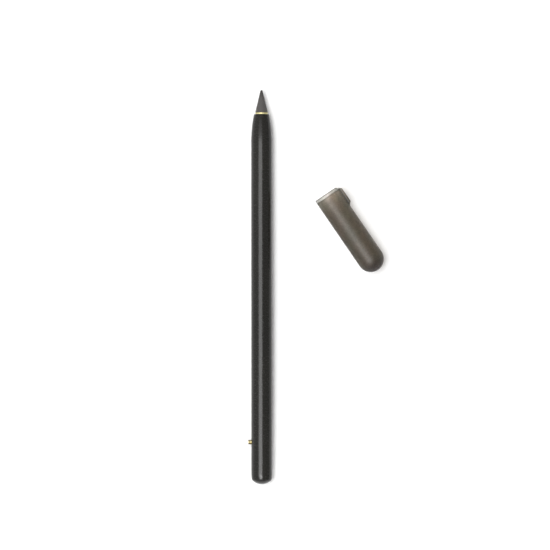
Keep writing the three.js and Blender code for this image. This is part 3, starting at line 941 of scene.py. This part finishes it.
# Level of the page and of the room on the left and on the right, and what it is multiplied by to the rear.
# It changes between these values of the X and the Y of a direction.
PAGE_LEVELS = (1.0, 0.6, 1.5)
ROOM_LEVELS = (0.55, 0.22, 1.0)
SIDE_FADE = (-0.35, 0.35)
REAR_FADE = (-0.85, -0.3)

# Table
FLOOR_COLOUR = (0.92, 0.92, 0.918)
FLOOR_LIFT = (0.08, 0.08, 0.08)
FLOOR_HALF = 3.0
FLOOR_DROP = 0.02 * MM


def area_lamp(name, place, turn, size, radiance, in_gloss=True, in_diffuse=True):
    """A rectangular lamp that the camera doesn't see. Its radiance stays the same at any size."""
    data = bpy.data.lights.new(name, "AREA")
    data.shape = "RECTANGLE"
    data.size = size[0]
    data.size_y = size[1]
    data.energy = radiance * math.pi * size[0] * size[1]
    lamp = bpy.data.objects.new(name, data)
    lamp.location = place
    lamp.rotation_euler = turn
    lamp.visible_camera = False
    lamp.visible_glossy = in_gloss
    lamp.visible_diffuse = in_diffuse
    bpy.context.scene.collection.objects.link(lamp)


def distant_lamp(name, left, rear, radiance, in_gloss=True, in_diffuse=True):
    """A lamp that spans two ranges of angles, to the left and to the rear."""
    turn = math.radians(sum(left) / 2)
    front = -math.tan(math.radians(rear[0])) * LAMP_DISTANCE
    back = -math.tan(math.radians(rear[1])) * LAMP_DISTANCE
    place = (-LAMP_DISTANCE * math.sin(turn), (front + back) / 2, LAMP_DISTANCE * math.cos(turn))
    size = (2 * LAMP_DISTANCE * math.tan(math.radians(left[1] - left[0]) / 2), front - back)
    area_lamp(name, place, (0, -turn, 0), size, radiance, in_gloss, in_diffuse)


def glow_lamp(name, end, radiance):
    """A small lamp aimed at one end of the pencil: 1 for the point and -1 for the rear end."""
    place = Vector((GLOW_PLACE[0], end * GLOW_PLACE[1], GLOW_PLACE[2]))
    aim = Vector((0, end * HALF_LENGTH * MM, 0)) - place
    turn = aim.to_track_quat("-Z", "Y").to_euler()
    area_lamp(name, place, turn, (GLOW_SIZE, GLOW_SIZE), radiance, in_gloss=False)


def add_lamps():
    """Four parts of the softbox, the spot lamp, the fill lamp and two glow lamps."""
    for name, (rear, radiance) in SOFTBOX_PARTS.items():
        distant_lamp(name, SOFTBOX_LEFT, rear, radiance)
    distant_lamp("spot_lamp", SPOT_LEFT, SPOT_REAR, SPOT_RADIANCE, in_diffuse=False)
    distant_lamp("fill", FILL_LEFT, FILL_REAR, FILL_RADIANCE, in_gloss=False)
    glow_lamp("front_glow", 1, GLOW_FRONT_RADIANCE)
    glow_lamp("rear_glow", -1, GLOW_REAR_RADIANCE)


def add_room():
    """The camera, gloss and clear plastic see a white page. All other light comes from a dimmer room."""
    n = Nodes(bpy.data.worlds.new("room"), "ShaderNodeOutputWorld")
    where = n.add("ShaderNodeTexCoord").outputs["Generated"]

    def light(left, right, rear):
        side = n.span(n.axis(where, "X"), SIDE_FADE, (left, right))
        level = n.times(side, n.span(n.axis(where, "Y"), REAR_FADE, (rear, 1.0)))
        background = n.shader("ShaderNodeBackground", Color=(1, 1, 1, 1))
        n.link(level, background.inputs["Strength"])
        return background.outputs["Background"]

    room = light(*ROOM_LEVELS)
    page = light(*PAGE_LEVELS)
    bpy.context.scene.world = n.finished(n.mix(n.seen(), room, page))


def floor_material():
    """White table. Where the camera, gloss or clear plastic shows it, it is as bright as the page."""
    n = material_nodes("white_table")
    paint = n.shader("ShaderNodeBsdfDiffuse", Color=(*FLOOR_COLOUR, 1))
    lift = n.shader("ShaderNodeBsdfDiffuse", Color=(*FLOOR_LIFT, 1))
    both = n.add("ShaderNodeAddShader")
    n.link(paint.outputs["BSDF"], both.inputs[0])
    n.link(lift.outputs["BSDF"], both.inputs[1])
    return n.finished(n.mix(n.seen(), paint.outputs["BSDF"], both.outputs["Shader"]))


def add_floor():
    mesh = bpy.data.meshes.new("table_top")
    half = FLOOR_HALF
    corners = [(-half, -half), (half, -half), (half, half), (-half, half)]
    mesh.from_pydata([(x, y, -FLOOR_DROP) for x, y in corners], [], [(0, 1, 2, 3)])
    mesh.materials.append(floor_material())
    floor = bpy.data.objects.new("table_top", mesh)
    bpy.context.scene.collection.objects.link(floor)


def dress(piece, material, body, node):
    piece.data.materials.append(material)
    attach(piece, body)
    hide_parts(node)


add_camera()
add_lamps()
add_room()
add_floor()

dress(barrel_piece(), lacquer_material(), "pencil", "barrel")
dress(ferrule_piece(), brass_material(), "pencil", "threaded_ferrule")
dress(stud_piece(), pin_material(), "pencil", "side_stud")
dress(tip_piece(), graphite_material(), "tip", "graphite_tip")
dress(screw_piece(), steel_material(), "tip", "tip_screw")
dress(cap_piece(), smoke_material(), "cap", "cap")

bpy.context.scene.view_settings.view_transform = "Standard"
